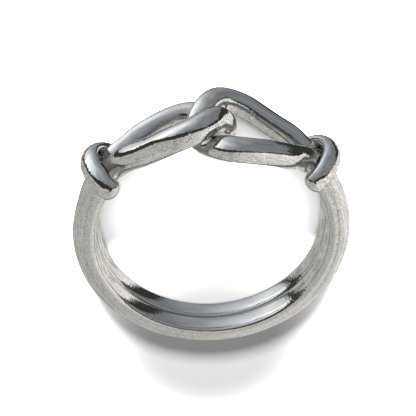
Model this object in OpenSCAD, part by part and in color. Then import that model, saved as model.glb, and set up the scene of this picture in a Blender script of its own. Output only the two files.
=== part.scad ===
// Knot ring lying on its side.
// A band of two wires side by side runs round the finger. At the knot its ends become two hooked
// wire loops, and a wire collar wraps each side where the loops leave the band.
// Millimetres. The finger hole is centred on the origin and the knot faces -Y.
// Angles round the finger are measured from the middle of the knot, and are positive to the right.
// Left and right are as seen with the ring's upper face towards the eye and the knot at the top.

/* [Finger hole] */
// Radius of the finger hole
hole_r = 8.65; // [8:0.05:10]

/* [Band] */
// Width of each of the two band wires, along the finger
wire_w = 1.72; // [1.6:0.02:1.76]
// Thickness of the band from the hole outwards
band_t = 1.75; // [1.7:0.01:1.85]
// Radius of the softened edges at both ends of the finger hole
edge_r = 0.28; // [0.1:0.02:0.36]
// Radius of the softened edges beside the crease between the wires
crease_r = 0.15; // [0.05:0.01:0.25]
// Angle at which the band ends under each collar
band_end = 49.5; // [49:0.1:50]

/* [Knot] */
// Half width of the loop wire, across its run
loop_w = 0.8; // [0.7:0.01:0.84]
// Half height of the loop wire, away from the finger
loop_h = 0.87; // [0.75:0.01:0.88]
// Squareness of the loop wire's section, where 2 is an ellipse
loop_square = 2.6; // [2:0.1:2.8]
// Radius to which the underside of the knot is dressed smooth
dress_r = 8.5; // [8.45:0.01:8.55]
// How far the middle of the knot leans towards the upper face
lean = 0.6; // [0:0.05:0.7]
// Radius at the middle of the loop wire where it meets the band
root_r = 9.52; // [9.45:0.01:9.55]

/* [Collars] */
// Angle of each collar from the middle of the knot
collar_at = 50; // [49.8:0.1:52]
// Half width of the collar's wire, round the finger
collar_w = 0.8; // [0.6:0.02:0.82]
// Half thickness of the collar's wire
collar_t = 0.53; // [0.4:0.01:0.6]
// Radius of the collar's arch, to the middle of its wire
arch_r = 2.34; // [2.25:0.01:2.5]
// Radius from the finger's middle to the middle of the collar's arch
arch_at = 8.66; // [8.6:0.01:8.8]
// How far the arch bends on each side before its foot rounds off
arch_bend = 82; // [80:0.5:84]

/* [Detail] */
// Steps between two rows of the loops' table
loop_steps = 7; // [4:1:8]
// Corners round the loop wire
loop_sides = 20; // [12:4:24]

/* [Hidden] */
$fn = 96;

silver = [0.78, 0.79, 0.8];
bright = [0.62, 0.65, 0.7];
gap = 0.05;
fuse = 0.02;
collar_span = 8;
foot_swell = 1.02;

// Radius and height at which the domed back of a band wire is centred
dome_at = hole_r + band_t - wire_w / 2;
dome_high = wire_w / 2 - fuse;

// The ring rests on a foot of each collar and on the far side of the band, so it lies a little tipped
rest_run = dome_at + (arch_at + arch_r * cos(arch_bend)) * cos(collar_at);
rest_rise = arch_r * sin(arch_bend) - dome_high;
rest_tuck = asin((collar_t * foot_swell - wire_w / 2) / norm([rest_run, rest_rise]));
rest_lean = atan(rest_rise / rest_run) + rest_tuck;

// The middle of the left loop's wire, from the band over the upper side, round its tip and back.
// Columns: angle from the middle of the knot, height above the band's middle, radius, thickness.
root_gap = 0.4;
lean_end = 44.2;
loop_root = band_end - root_gap;
loop_rows = [
    [-loop_root, 0.85, root_r, 0.94],
    [-43, 0.87, 9.46, 0.98],
    [-36, 1.25, 9.5, 1],
    [-26.5, 1.75, 9.5, 1],
    [-14.5, 2.3, 9.95, 1],
    [-6.5, 2.25, 10.3, 1],
    [-1.5, 1.65, 10.5, 1],
    [2, 0.9, 10.3, 1],
    [5.15, 0.25, 9.65, 1],
    [5.65, -0.55, 8.95, 1],
    [1, -1.55, 8.6, 1],
    [-4.5, -2.54, 9.06, 1.05],
    [-11.5, -2.83, 9.17, 1],
    [-21, -2.5, 9.15, 1],
    [-32, -1.88, 9.2, 1],
    [-38, -1.27, 9.28, 1],
    [-43.5, -0.87, 9.43, 0.98],
    [-loop_root, -0.85, root_r, 0.94]
];

// A point at an angle, a height and a radius
function at(angle, height, radius) = [-radius * sin(angle), -radius * cos(angle), height];

// The knot's lean is full in its middle and dies out where the loops run under the collars
function leaned(angle) = lean * cos(90 * min(1, abs(angle) / lean_end));

// A row as a point of the left loop, or with turn = -1 of the right one, which is the same wire
// turned half round about the middle of the knot
function loop_point(row, turn) = at(turn * row[0], turn * row[1] + leaned(row[0]), row[2]);

// A smooth curve from b to c, with a and d as the points before and after, and its heading
function curve(a, b, c, d, t) =
    b + ((c - a) * t + (2 * a - 5 * b + 4 * c - d) * t * t + (3 * b - a - 3 * c + d) * t * t * t) / 2;
function heading(a, b, c, d, t) =
    unit((c - a) + 2 * (2 * a - 5 * b + 4 * c - d) * t + 3 * (3 * b - a - 3 * c + d) * t * t);

function unit(v) = v / norm(v);
function mirrored(p, normal) = p - 2 * normal * (p * normal);

// A superellipse's coordinate from the cosine of its angle
function bulged(cosine, size) = size * sign(cosine) * pow(abs(cosine), 2 / loop_square);

// A point under the knot moved out to the radius that the underside is dressed to
function dressed(p) = [p[0], p[1], 0] * max(1, dress_r / norm([p[0], p[1]])) + [0, 0, p[2]];

// The corners of the loop wire's section about a point of its middle, at its thickness there
function loop_section(middle, ahead, thick) =
    let (
        radial = unit([middle[0], middle[1], 0]),
        up = unit(radial - ahead * (radial * ahead)),
        across = cross(ahead, up)
    )
        [
            for (i = [0 : loop_sides - 1])
                let (turn = 360 * i / loop_sides)
                    dressed(
                        middle
                        + across * bulged(cos(turn), loop_w * thick)
                        + up * bulged(sin(turn), loop_h * thick)
                    )
        ];

// A closed skin over a row of sections
module skin(sections) {
    sides = len(sections[0]);
    last = (len(sections) - 1) * sides;
    walls = [
        for (a = [0 : sides : last - sides], j = [0 : sides - 1])
            let (k = (j + 1) % sides, b = a + sides)
                each [[a + j, a + k, b + k], [a + j, b + k, b + j]]
    ];
    ends = [for (j = [1 : sides - 2]) each [[0, j + 1, j], [last, last + j, last + j + 1]]];
    polyhedron(points = [for (ring = sections, p = ring) p], faces = concat(walls, ends));
}

// A loop's wire, which leaves and meets the band square to the band's ends
module loop_wire(turn) {
    rows = [for (row = loop_rows) loop_point(row, turn)];
    n = len(rows);
    round_finger = cross([0, 0, 1], unit([rows[0][0], rows[0][1], 0]));
    p = concat(
        [mirrored(rows[1], round_finger)],
        rows,
        [mirrored(rows[n - 2], round_finger)]
    );
    skin([
        for (i = [0 : n - 2], s = [0 : i < n - 2 ? loop_steps - 1 : loop_steps])
            let (t = s / loop_steps)
                loop_section(
                    curve(p[i], p[i + 1], p[i + 2], p[i + 3], t),
                    heading(p[i], p[i + 1], p[i + 2], p[i + 3], t),
                    loop_rows[i][3] * (1 - t) + loop_rows[i + 1][3] * t
                )
    ]);
}

// One wire of the band above the crease, with a domed back and a flat face to the finger.
// It can be grown on every side, for the channel that it needs in a collar.
module wire_profile(grow) {
    translate([dome_at, dome_high])
        circle(r = wire_w / 2 + grow);
    translate([hole_r + edge_r, -fuse])
        square([dome_at - hole_r - edge_r, wire_w + grow]);
    translate([hole_r - grow, crease_r - fuse])
        square([edge_r + grow, wire_w - crease_r - edge_r]);
    translate([hole_r + crease_r, crease_r - fuse])
        circle(r = crease_r + grow);
    translate([hole_r + edge_r, wire_w - fuse - edge_r])
        circle(r = edge_r + grow);
}

// Both wires, swept round the finger from one angle to another
module wires(from, to, grow = 0) {
    rotate([0, 0, -90 - to])
        rotate_extrude(angle = to - from)
            for (side = [0, 1])
                mirror([0, side])
                    wire_profile(grow);
}

// Tips the ring from the finger hole's own frame to the way it lies
module lying() {
    rotate([-rest_lean, 0, 0])
        children();
}

module band() {
    color(silver)
        lying()
            wires(band_end, 360 - band_end);
}

module left_loop() {
    color(bright)
        lying()
            loop_wire(1);
}

module right_loop() {
    color(bright)
        lying()
            loop_wire(-1);
}

// The section of a collar's wire, fuller than its size by swell
module collar_section(swell = 1) {
    scale([collar_t * swell, collar_w * swell])
        circle(r = 1);
}

// The rounded end of a collar's wire, a touch fuller than the wire
module rounded_foot() {
    rotate_extrude()
        intersection() {
            collar_section(foot_swell);
            translate([0, -2 * collar_w])
                square([2 * collar_t, 4 * collar_w]);
        }
}

// A half hoop of wire over the band at an angle, with its rounded feet beside the band
module collar(angle) {
    difference() {
        rotate([90, 0, -90 - angle])
            translate([arch_at, 0, 0]) {
                rotate_extrude(angle = 2 * arch_bend, start = -arch_bend)
                    translate([arch_r, 0])
                        collar_section();
                for (side = [0, 1])
                    mirror([0, side, 0])
                        rotate([0, 0, arch_bend])
                            translate([arch_r, 0, 0])
                                rounded_foot();
            }
        wires(angle - collar_span, angle + collar_span, gap);
    }
}

module left_collar() {
    color(bright)
        lying()
            collar(-collar_at);
}

module right_collar() {
    color(bright)
        lying()
            collar(collar_at);
}

band();
left_loop();
right_loop();
left_collar();
right_collar();
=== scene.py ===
import math

import bmesh
import bpy
from mathutils import Matrix, Vector


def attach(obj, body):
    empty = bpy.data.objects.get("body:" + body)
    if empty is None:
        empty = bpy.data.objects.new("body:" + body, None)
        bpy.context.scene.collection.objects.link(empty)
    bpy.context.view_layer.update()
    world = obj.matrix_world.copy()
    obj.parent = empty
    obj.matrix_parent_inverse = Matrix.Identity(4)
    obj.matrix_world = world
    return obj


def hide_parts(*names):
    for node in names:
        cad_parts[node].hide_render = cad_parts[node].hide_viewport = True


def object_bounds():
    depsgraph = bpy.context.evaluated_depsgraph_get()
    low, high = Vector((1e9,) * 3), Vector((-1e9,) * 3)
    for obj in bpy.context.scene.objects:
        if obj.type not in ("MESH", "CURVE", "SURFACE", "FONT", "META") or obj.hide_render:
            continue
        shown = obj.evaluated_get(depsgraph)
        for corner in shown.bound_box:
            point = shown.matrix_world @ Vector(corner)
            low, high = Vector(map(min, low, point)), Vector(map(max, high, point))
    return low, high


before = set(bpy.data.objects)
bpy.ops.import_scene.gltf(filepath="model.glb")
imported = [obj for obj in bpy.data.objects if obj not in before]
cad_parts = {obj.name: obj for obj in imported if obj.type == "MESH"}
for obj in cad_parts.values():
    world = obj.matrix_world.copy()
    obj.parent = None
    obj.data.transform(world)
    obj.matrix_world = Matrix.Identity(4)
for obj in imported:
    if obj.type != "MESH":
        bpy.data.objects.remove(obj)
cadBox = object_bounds()
print("silver ring: frame loaded")

# sizes below are in millimetres and angles in degrees, unless a note says otherwise
mm = 0.001

# how the ring lies: the finger hole's axis leans this much from upright
lying = {
    "leanDegrees": 4.31976,
}
leanSin = math.sin(math.radians(lying["leanDegrees"]))
leanCos = math.cos(math.radians(lying["leanDegrees"]))

# the ring's own directions as pictured: right, up towards the knot, and away through the finger hole
pictureRight = (-1.0, 0.0, 0.0)
pictureUp = (0.0, -leanCos, leanSin)
pictureAway = (0.0, -leanSin, -leanCos)


# one socket of a shader, so that shader maths reads as plain expressions
class Value:
    def __init__(self, shader, socket):
        self.shader = shader
        self.socket = socket

    def __add__(self, other):
        return self.shader.maths("ADD", self, other)

    def __radd__(self, other):
        return self.shader.maths("ADD", other, self)

    def __sub__(self, other):
        return self.shader.maths("SUBTRACT", self, other)

    def __rsub__(self, other):
        return self.shader.maths("SUBTRACT", other, self)

    def __mul__(self, other):
        return self.shader.maths("MULTIPLY", self, other)

    def __rmul__(self, other):
        return self.shader.maths("MULTIPLY", other, self)

    def __pow__(self, other):
        return self.shader.maths("POWER", self, other)

    def __rpow__(self, other):
        return self.shader.maths("POWER", other, self)

    # 0 below low, 1 above high, and smooth between them
    def step(self, low, high):
        return self.shader.node("ShaderNodeMapRange", {"interpolation_type": "SMOOTHSTEP"},
                                {"Value": self, "From Min": low, "From Max": high})


# the nodes of one material, or of the studio around the ring
class Shader:
    def __init__(self, owner):
        owner.use_nodes = True
        self.tree = owner.node_tree
        self.tree.nodes.clear()

    # any node: its settings, then the numbers or links of its sockets, and the output to go on with
    def node(self, kind, settings=None, inputs=None, output=0):
        made = self.tree.nodes.new(kind)
        for name, setting in (settings or {}).items():
            setattr(made, name, setting)
        for name, value in (inputs or {}).items():
            if isinstance(value, Value):
                self.tree.links.new(value.socket, made.inputs[name])
            else:
                made.inputs[name].default_value = value
        return Value(self, made.outputs[output]) if made.outputs else None

    def maths(self, operation, first, second):
        return self.node("ShaderNodeMath", {"operation": operation}, {0: first, 1: second})

    # a mix of two colours, whose sockets go by place because its other kinds use the same names
    def mix(self, factor, low, high):
        return self.node("ShaderNodeMix", {"data_type": "RGBA"}, {0: factor, 6: low, 7: high}, 2)

    def brightened(self, colour, factor):
        return self.node("ShaderNodeVectorMath", {"operation": "SCALE"}, {0: colour, "Scale": factor})

    # how far one direction goes along another, from -1 to 1
    def along(self, way, direction):
        return self.node("ShaderNodeVectorMath", {"operation": "DOT_PRODUCT"},
                         {0: way, 1: direction}, "Value")

    def distance(self, place, middle):
        return self.node("ShaderNodeVectorMath", {"operation": "DISTANCE"},
                         {0: place, 1: middle}, "Value")

    def noise(self, place, scale, detail):
        return self.node("ShaderNodeTexNoise", None,
                         {"Vector": place, "Scale": scale, "Detail": detail}, "Fac")


# polished silver with a fine grain, and wider patches of light wear
silverLook = {
    "colour": (0.95, 0.945, 0.93, 1.0),
    "shadeColour": (0.86, 0.85, 0.83, 1.0),
    "grainSize": 0.15,
    "grainDetail": 1.0,
    "grainEdges": (0.3, 0.75),
    "grainShade": 0.35,
    "grainDepth": 0.010,
    "patchSize": 1.6,
    "patchDetail": 2.0,
    "patchEdges": (0.35, 0.7),
    "patchShade": 0.15,
    "roughness": 0.015,
    "roughnessSpread": 0.02,
    "roughnessFromGrain": 0.6,
    "roughnessFromPatches": 0.4,
}


# coarseness is 1 for the full grain, and less for a brighter polish
def silver(name, coarseness):
    made = bpy.data.materials.new(name)
    shader = Shader(made)
    place = shader.node("ShaderNodeTexCoord", output="Object")
    grain = shader.noise(place, 1 / (silverLook["grainSize"] * mm), silverLook["grainDetail"])
    patches = shader.noise(place, 1 / (silverLook["patchSize"] * mm), silverLook["patchDetail"])
    wear = patches.step(*silverLook["patchEdges"])
    shade = grain.step(*silverLook["grainEdges"]) * silverLook["grainShade"] + wear * silverLook["patchShade"]
    unevenness = grain * silverLook["roughnessFromGrain"] + wear * silverLook["roughnessFromPatches"]
    grainBump = shader.node("ShaderNodeBump", None, {
        "Strength": 1.0, "Distance": silverLook["grainDepth"] * coarseness * mm, "Height": grain})
    surface = shader.node("ShaderNodeBsdfPrincipled", None, {
        "Base Color": shader.mix(shade, silverLook["colour"], silverLook["shadeColour"]),
        "Metallic": 1.0,
        "Roughness": silverLook["roughness"] + silverLook["roughnessSpread"] * coarseness * unevenness,
        "Normal": grainBump})
    shader.node("ShaderNodeOutputMaterial", None, {"Surface": surface})
    return made


bandSilver = silver("bandSilver", 1.0)
knotSilver = silver("knotSilver", 0.8)
print("silver ring: materials made")


# a wire made from a flat disc that is extruded from one ring of points to the next
def sweptWire(name, rings, roundings):
    bpy.ops.object.select_all(action="DESELECT")
    # the disc may be of any size, because its corners move on to the first ring
    bpy.ops.mesh.primitive_circle_add(vertices=len(rings[0]), radius=mm, fill_type="NGON")
    piece = bpy.context.active_object
    piece.name = name
    piece.data.name = name
    bpy.ops.object.mode_set(mode="EDIT")
    bpy.ops.mesh.select_all(action="SELECT")
    mesh = bmesh.from_edit_mesh(piece.data)
    mesh.verts.ensure_lookup_table()
    for vert, point in zip(mesh.verts, rings[0]):
        vert.co = point * mm
    for before, after in zip(rings, rings[1:]):
        bpy.ops.mesh.extrude_region_move()
        mesh = bmesh.from_edit_mesh(piece.data)
        for vert in mesh.verts:
            # the new corners still lie on the ring before, and each moves on to its own point of the next
            if vert.select:
                gaps = [(point * mm - vert.co).length_squared for point in before]
                vert.co = after[gaps.index(min(gaps))] * mm
        bmesh.update_edit_mesh(piece.data)
    bpy.ops.mesh.select_all(action="SELECT")
    bpy.ops.mesh.normals_make_consistent(inside=False)
    bpy.ops.object.mode_set(mode="OBJECT")
    rounding = piece.modifiers.new("rounding", "SUBSURF")
    rounding.levels = roundings
    rounding.render_levels = roundings
    bpy.ops.object.modifier_apply(modifier=rounding.name)
    bpy.ops.object.shade_smooth()
    return piece


# a finished piece gets its silver, and takes the place of its plain solid
def inSilver(piece, material, slotName, *nodeNames):
    piece.data.materials.append(material)
    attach(piece, "root")
    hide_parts(*nodeNames)


# a point of the ring by its angle from the middle of the knot, its distance from the finger hole's axis,
# and its height along that axis
def ringPoint(angle, radius, height):
    way = math.radians(angle)
    return Vector((-radius * math.sin(way), -radius * math.cos(way), height))


# a point of the ring before it is laid down, brought to where it lies
def laid(point):
    return Vector((point.x, point.y * leanCos + point.z * leanSin, point.z * leanCos - point.y * leanSin))


# how far out a rounded section reaches for a cosine or sine, where a squareness of 2 gives an ellipse
def bulged(share, squareness):
    return math.copysign(abs(share) ** (2 / squareness), share)


# the knot's two wires, each one hooked through the other
loopWire = {
    # angle from the middle of the knot, height above the band's middle, radius of the wire's middle,
    # thickness as a share of the full section, and how far the section is rolled outwards
    "rows": (
        (-49.1, 0.85, 9.52, 0.94, 30),
        (-43.0, 0.87, 9.46, 0.98, 28),
        (-36.0, 1.25, 9.5, 1.0, 17),
        (-26.5, 1.75, 9.5, 1.0, 5),
        (-14.5, 2.3, 9.95, 1.0, 0),
        (-6.5, 2.25, 10.3, 1.0, 0),
        (-1.5, 1.65, 10.5, 1.0, 0),
        (2.0, 0.9, 10.3, 1.0, 0),
        (5.15, 0.25, 9.65, 1.0, 0),
        (5.65, -0.55, 8.95, 1.0, 0),
        (1.0, -1.55, 8.6, 1.0, 10),
        (-4.5, -2.54, 9.06, 1.05, 18),
        (-11.5, -2.83, 9.17, 1.0, 6),
        (-21.0, -2.5, 9.15, 1.0, 5),
        (-32.0, -1.88, 9.2, 1.0, 17),
        (-38.0, -1.27, 9.28, 1.0, 22),
        (-43.5, -0.87, 9.43, 0.98, 28),
        (-49.1, -0.85, 9.52, 0.94, 30),
    ),
    # how far the middle of the knot leans towards the upper face, and the angle where the lean ends
    "lean": 0.6,
    "leanEnd": 44.2,
    "halfWidth": 0.8,
    "halfHeight": 0.87,
    "squareness": 2.4,
    # the radius to which the side towards the finger is dressed smooth
    "dressedTo": 8.5,
    "steps": 6,
    "corners": 24,
    "roundings": 1,
}


# the wire's middle at each row, with a mirrored point past each end so that it leaves the collar straight
def loopSpine(turn):
    spine = []
    for angle, height, radius, thick, roll in loopWire["rows"]:
        lean = loopWire["lean"] * math.cos(math.radians(90 * min(1.0, abs(angle) / loopWire["leanEnd"])))
        spine.append(ringPoint(turn * angle, radius, turn * height + lean))
    roundFinger = Vector((0, 0, 1)).cross(Vector((spine[0].x, spine[0].y, 0)).normalized())
    before = spine[1] - 2 * roundFinger * spine[1].dot(roundFinger)
    after = spine[-2] - 2 * roundFinger * spine[-2].dot(roundFinger)
    return [before] + spine + [after]


# stations on a smooth curve through the rows: the wire's middle, the way ahead, its thickness and its roll
def loopStations(turn):
    rows = loopWire["rows"]
    spine = loopSpine(turn)
    lastStretch = len(rows) - 2
    stations = []
    for place in range(lastStretch + 1):
        a, b, c, d = spine[place:place + 4]
        bend = 2 * a - 5 * b + 4 * c - d
        rise = 3 * b - a - 3 * c + d
        thickBefore, rollBefore = rows[place][3:]
        thickAfter, rollAfter = rows[place + 1][3:]
        for step in range(loopWire["steps"] + (1 if place == lastStretch else 0)):
            t = step / loopWire["steps"]
            middle = b + ((c - a) * t + bend * t * t + rise * t * t * t) / 2
            ahead = ((c - a) + 2 * bend * t + 3 * rise * t * t).normalized()
            thick = thickBefore * (1 - t) + thickAfter * t
            roll = rollBefore * (1 - t) + rollAfter * t
            stations.append((middle, ahead, thick, roll))
    return stations


# the corners of the wire's section, dressed smooth where it would reach in to the finger
def loopSection(middle, across, up, thick):
    ring = []
    for corner in range(loopWire["corners"]):
        around = 2 * math.pi * corner / loopWire["corners"]
        wide = bulged(math.cos(around), loopWire["squareness"]) * loopWire["halfWidth"] * thick
        high = bulged(math.sin(around), loopWire["squareness"]) * loopWire["halfHeight"] * thick
        point = middle + across * wide + up * high
        fitted = max(1.0, loopWire["dressedTo"] / math.hypot(point.x, point.y))
        ring.append(laid(Vector((point.x * fitted, point.y * fitted, point.z))))
    return ring


# the section is carried along the wire without twisting, and what twist is left is spread along it
def loopRings(turn):
    stations = loopStations(turn)
    firstMiddle = stations[0][0]
    lastMiddle, lastAhead = stations[-1][:2]
    up = Vector((firstMiddle.x, firstMiddle.y, 0)).normalized()
    carried = []
    for middle, ahead, thick, roll in stations:
        up = (up - ahead * up.dot(ahead)).normalized()
        carried.append(up)
    outwards = Vector((lastMiddle.x, lastMiddle.y, 0)).normalized()
    leftOver = math.atan2(lastAhead.dot(up.cross(outwards)), up.dot(outwards))
    rings = []
    for place, (middle, ahead, thick, roll) in enumerate(stations):
        twist = leftOver * place / (len(stations) - 1)
        up = Matrix.Rotation(twist + math.radians(roll), 3, ahead) @ carried[place]
        rings.append(loopSection(middle, ahead.cross(up), up, thick))
    return rings


# the right wire is the left one turned half round, but leans the same way
for name, turn, nodeName in (("leftLoopWire", 1, "left_loop"), ("rightLoopWire", -1, "right_loop")):
    inSilver(sweptWire(name, loopRings(turn), loopWire["roundings"]), knotSilver, "knot_silver", nodeName)
print("silver ring: loops swept")

# the band's two wires, side by side, with domed backs and softly crowned faces to the finger
bandWire = {
    # the angle from the middle of the knot where the wires end, under the collars
    "ends": 49.5,
    "middleRadius": 9.54,
    "middleHeight": 0.84,
    "halfWidth": 0.86,
    "back": 0.86,
    "inward": 0.89,
    "backSquareness": 2.0,
    "innerSquareness": 4.2,
    "rings": 100,
    "corners": 32,
    "roundings": 1,
}


# side is 1 for the upper wire and -1 for the lower one
def bandRings(side):
    rings = []
    for step in range(bandWire["rings"] + 1):
        angle = bandWire["ends"] + (360 - 2 * bandWire["ends"]) * step / bandWire["rings"]
        ring = []
        for corner in range(bandWire["corners"]):
            around = 2 * math.pi * corner / bandWire["corners"]
            inner = math.sin(around) < 0
            squareness = bandWire["innerSquareness" if inner else "backSquareness"]
            out = bulged(math.sin(around), squareness) * bandWire["inward" if inner else "back"]
            wide = bulged(math.cos(around), squareness) * bandWire["halfWidth"]
            height = side * bandWire["middleHeight"] + wide
            ring.append(laid(ringPoint(angle, bandWire["middleRadius"] + out, height)))
        rings.append(ring)
    return rings


upperWire = sweptWire("bandWires", bandRings(1), bandWire["roundings"])
lowerWire = sweptWire("lowerBandWire", bandRings(-1), bandWire["roundings"])
bpy.ops.object.select_all(action="DESELECT")
lowerWire.select_set(True)
upperWire.select_set(True)
bpy.context.view_layer.objects.active = upperWire
bpy.ops.object.join()
inSilver(upperWire, bandSilver, "band_silver", "band")
print("silver ring: band wires swept")

# the two collars are the solids' own
for name in ("left_collar", "right_collar"):
    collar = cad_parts[name]
    collar.data.materials.clear()
    collar.data.materials.append(knotSilver)
print("silver ring: collars in silver")

# a pale floor, with a painted shadow: a soft darker patch of floor colour past the ring's far side, which
# also deepens the low lamp's real shadow there, where that shadow would be lost in the light
floorLook = {
    "size": 900.0,
    "colour": (0.75, 0.75, 0.745, 1.0),
    "paintedShadowColour": (0.13, 0.13, 0.132, 1.0),
    "paintedShadowMiddle": (0.0, 13.5, 0.0),
    "paintedShadowFadesFrom": 5.0,
    "paintedShadowFadesTo": 20.0,
    "roughness": 0.7,
    "shine": 0.1,
}
floorHeight = cadBox[0][2]
bpy.ops.object.select_all(action="DESELECT")
bpy.ops.mesh.primitive_plane_add(size=floorLook["size"] * mm, location=(0.0, 0.0, floorHeight))
floor = bpy.context.active_object
floor.name = "paleFloor"
floorMaterial = bpy.data.materials.new("paleFloor")
floorShader = Shader(floorMaterial)
# painted shadow: the floor colour is darkest near the patch's middle and fades out to the plain floor colour
fromPaintedShadow = floorShader.distance(
    floorShader.node("ShaderNodeTexCoord", output="Object"), Vector(floorLook["paintedShadowMiddle"]) * mm)
paintedShadowFading = fromPaintedShadow.step(floorLook["paintedShadowFadesFrom"] * mm, floorLook["paintedShadowFadesTo"] * mm)
floorSurface = floorShader.node("ShaderNodeBsdfPrincipled", None, {
    "Base Color": floorShader.mix(paintedShadowFading, floorLook["paintedShadowColour"], floorLook["colour"]),
    "Roughness": floorLook["roughness"],
    "Specular IOR Level": floorLook["shine"]})
floorShader.node("ShaderNodeOutputMaterial", None, {"Surface": floorSurface})
floor.data.materials.append(floorMaterial)
# the silver mirrors the studio, and not the floor
floor.visible_glossy = False

# the studio that the silver mirrors: blue-grey above with a bright side, a dark band, and warm grey below
studio = {
    # degrees round the picture, to the right of straight ahead, and degrees up
    "brightAt": (-75.0, 32.0),
    "dimSky": 0.205,
    "risingSky": 0.25,
    "brightSky": 0.70,
    "brightPower": 5.0,
    "clouds": {"scale": 2.6, "detail": 2.0, "edges": (0.3, 0.7), "depth": 0.17},
    "coolTint": (0.92, 1.0, 1.09, 1.0),
    "plainTint": (1.0, 1.0, 1.0, 1.0),
    "tintEdges": (0.45, 0.95),
    # each edge of the dark band has a height to start from, where -1 is straight down and 1 straight up,
    # and then rows of two angles round the picture and its rise between them
    "darkTop": (0.40, (-80, -40, -0.24), (-15, 8, -0.09), (15, 40, 0.30), (72, 95, -0.20), (120, 160, 0.10)),
    "darkFoot": (-0.08, (-150, -110, 0.18), (-80, -50, -0.06), (-15, 12, -0.12), (20, 40, 0.09)),
    "darkSoftness": 0.012,
    "darkColour": (0.034, 0.035, 0.029, 1.0),
    "belowLeft": (0.42, 0.412, 0.392, 1.0),
    "belowRight": (0.76, 0.735, 0.70, 1.0),
    "belowEdges": (-0.3, 1.0),
    "specks": {"scale": 18.0, "detail": 1.0, "edges": (0.35, 0.65), "depth": 0.5},
    # where the silver mirrors itself: after how many mirrorings light is lost, and how much of it
    "dimmedAfter": 1.5,
    "lostTwice": 0.62,
    "softLight": 0.62,
}


# a direction from how far round the picture it is, and how far up it
def towards(roundDegrees, upDegrees):
    turn = math.radians(roundDegrees)
    rise = math.radians(upDegrees)
    level = Vector(pictureRight) * math.sin(turn) + Vector(pictureAway) * math.cos(turn)
    return level * math.cos(rise) + Vector(pictureUp) * math.sin(rise)


world = bpy.data.worlds.new("softStudio")
bpy.context.scene.world = world
sky = Shader(world)
way = sky.node("ShaderNodeTexCoord", output="Generated")
across = sky.along(way, pictureRight)
upward = sky.along(way, pictureUp)
away = sky.along(way, pictureAway)
turned = sky.maths("ARCTAN2", across, away)


# brightness that varies a little from one direction to the next
def dappled(scale, detail, edges, depth):
    return 1.0 + (sky.noise(way, scale, detail).step(*edges) - 0.5) * (2 * depth)


# where a direction lies from below to above an edge of the dark band
def above(start, *changes):
    height = start
    for begins, ends, rise in changes:
        height = height + rise * turned.step(math.radians(begins), math.radians(ends))
    return (upward - height).step(-studio["darkSoftness"], studio["darkSoftness"])


toBright = sky.along(way, towards(*studio["brightAt"]))
near = sky.maths("MAXIMUM", toBright, 0.0)
glow = near ** studio["brightPower"]
evenSky = studio["dimSky"] + studio["risingSky"] * near + studio["brightSky"] * glow
brightness = evenSky * dappled(**studio["clouds"])
tint = sky.mix(brightness.step(*studio["tintEdges"]), studio["coolTint"], studio["plainTint"])
overhead = sky.brightened(tint, brightness)
ground = sky.mix(across.step(*studio["belowEdges"]), studio["belowLeft"], studio["belowRight"])
below = sky.brightened(ground, dappled(**studio["specks"]))
upToBand = sky.mix(above(*studio["darkFoot"]), below, studio["darkColour"])
mirrored = sky.mix(above(*studio["darkTop"]), upToBand, overhead)

# silver sees the mirrored studio, dimmed from the second mirroring on, and the floor gets plain soft light
isMirrored = sky.node("ShaderNodeLightPath", output="Is Glossy Ray")
timesMirrored = sky.node("ShaderNodeLightPath", output="Glossy Depth")
dimming = sky.maths("GREATER_THAN", timesMirrored, studio["dimmedAfter"]) * studio["lostTwice"]
plainLight = (studio["softLight"], studio["softLight"], studio["softLight"], 1.0)
light = sky.mix(isMirrored, plainLight, sky.mix(dimming, mirrored, studio["darkColour"]))
background = sky.node("ShaderNodeBackground", None, {"Color": light, "Strength": 1.0})
sky.node("ShaderNodeOutputWorld", None, {"Surface": background})

# a broad soft lamp above, and a low one past the knot for the far side's shadow, neither seen in the silver
lamps = {
    "softLamp": {"standsAt": (4.0, -55.0, 150.0), "width": 110.0, "watts": 0.43},
    "lowLamp": {"standsAt": (6.0, -125.0, 83.0), "width": 24.0, "watts": 2.2},
}
for name, lampLook in lamps.items():
    standsAt = Vector(lampLook["standsAt"])
    bpy.ops.object.light_add(type="AREA", location=standsAt * mm)
    lamp = bpy.context.active_object
    lamp.name = name
    lamp.rotation_euler = (-standsAt).to_track_quat("-Z", "Y").to_euler()
    lamp.data.size = lampLook["width"] * mm
    lamp.data.energy = lampLook["watts"]
    lamp.visible_glossy = False
print("silver ring: studio made")

# the photograph's view of the ring, from above the floor
view = {
    "standsAt": (1.6548, -23.1391, 36.1623),
    "looksAt": (0.2233, -1.7497, -1.0153),
    "upward": (-0.03771, -0.86679, -0.49724),
    "lens": 48.33,
    "sensor": 36.0,
    "seesFrom": 1.0,
    "seesTo": 3000.0,
}
bpy.ops.object.camera_add(location=Vector(view["standsAt"]) * mm)
camera = bpy.context.active_object
camera.name = "pictureCamera"
back = (Vector(view["standsAt"]) - Vector(view["looksAt"])).normalized()
right = Vector(view["upward"]).cross(back).normalized()
camera.rotation_euler = Matrix((right, back.cross(right), back)).transposed().to_euler()
camera.data.lens = view["lens"]
camera.data.sensor_width = view["sensor"]
camera.data.clip_start = view["seesFrom"] * mm
camera.data.clip_end = view["seesTo"] * mm
bpy.context.scene.camera = camera
bpy.context.scene.view_settings.view_transform = "Standard"
bpy.context.scene.view_settings.look = "None"
print("silver ring: camera placed")
